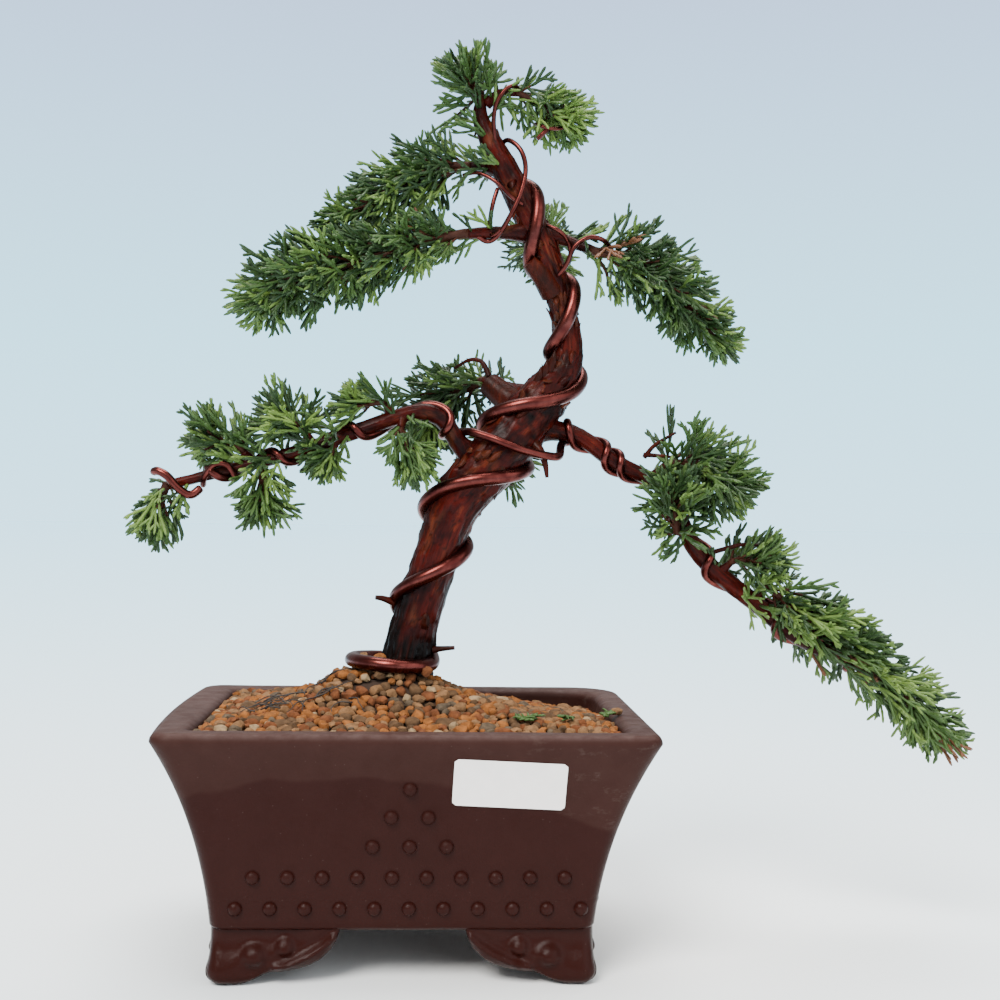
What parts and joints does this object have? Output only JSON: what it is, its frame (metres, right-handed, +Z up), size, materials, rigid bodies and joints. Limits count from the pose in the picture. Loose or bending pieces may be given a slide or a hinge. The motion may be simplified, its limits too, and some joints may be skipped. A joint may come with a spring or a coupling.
{
  "type": "potted juniper bonsai",
  "caption": "Juniper bonsai with a leaning trunk, a cascading right branch and wired boughs, in a footed rectangular clay pot filled with granular soil.",
  "frame": {"origin": "centre of the bounding box at the level that the pot's feet stand on", "axes": "+Z up, +X to the right along the pot's long side as seen from the front, +Y to the back"},
  "size_m": [0.3385, 0.1456, 0.3627],
  "materials": {
    "clay": "unglazed dark red-brown clay",
    "granules": "fired orange-brown clay granules",
    "sticker": "blank white paper sticker",
    "bark": "smooth reddish bark, cleaned",
    "copper_wire": "dark copper-brown anodised aluminium wire",
    "foliage": "deep green scale leaves"
  },
  "bodies": {
    "root": {"pot": "clay", "soil": "granules", "label": "sticker", "trunk": "bark", "left_bough_root": "bark", "left_bough": "bark", "right_bough_inner": "bark", "right_bough_outer": "bark", "upper_left_low_bough": "bark", "upper_left_high_bough": "bark", "upper_right_bough": "bark", "upper_back_bough": "bark", "middle_back_bough": "bark", "low_back_bough": "bark", "apex_right_side": "bark", "left_hanging_side": "bark", "left_outer_side": "bark", "left_inner_side": "bark", "left_knee_top_side": "bark", "left_knee_low_side": "bark", "left_under_side": "bark", "right_first_side": "bark", "right_front_side": "bark", "right_small_side": "bark", "right_third_side": "bark", "trunk_wire": "copper_wire", "bough_wire": "copper_wire", "second_wire": "copper_wire", "apex_top": "foliage", "apex_right": "foliage", "upper_left_high": "foliage", "upper_left_low": "foliage", "upper_right": "foliage", "upper_back": "foliage", "left_tip": "foliage", "left_hanging": "foliage", "left_outer": "foliage", "left_inner": "foliage", "left_knee_top": "foliage", "left_knee_low": "foliage", "left_under": "foliage", "middle_back": "foliage", "low_back": "foliage", "right_first": "foliage", "right_front": "foliage", "right_small": "foliage", "right_third": "foliage", "right_tip": "foliage"}
  },
  "joints": []
}
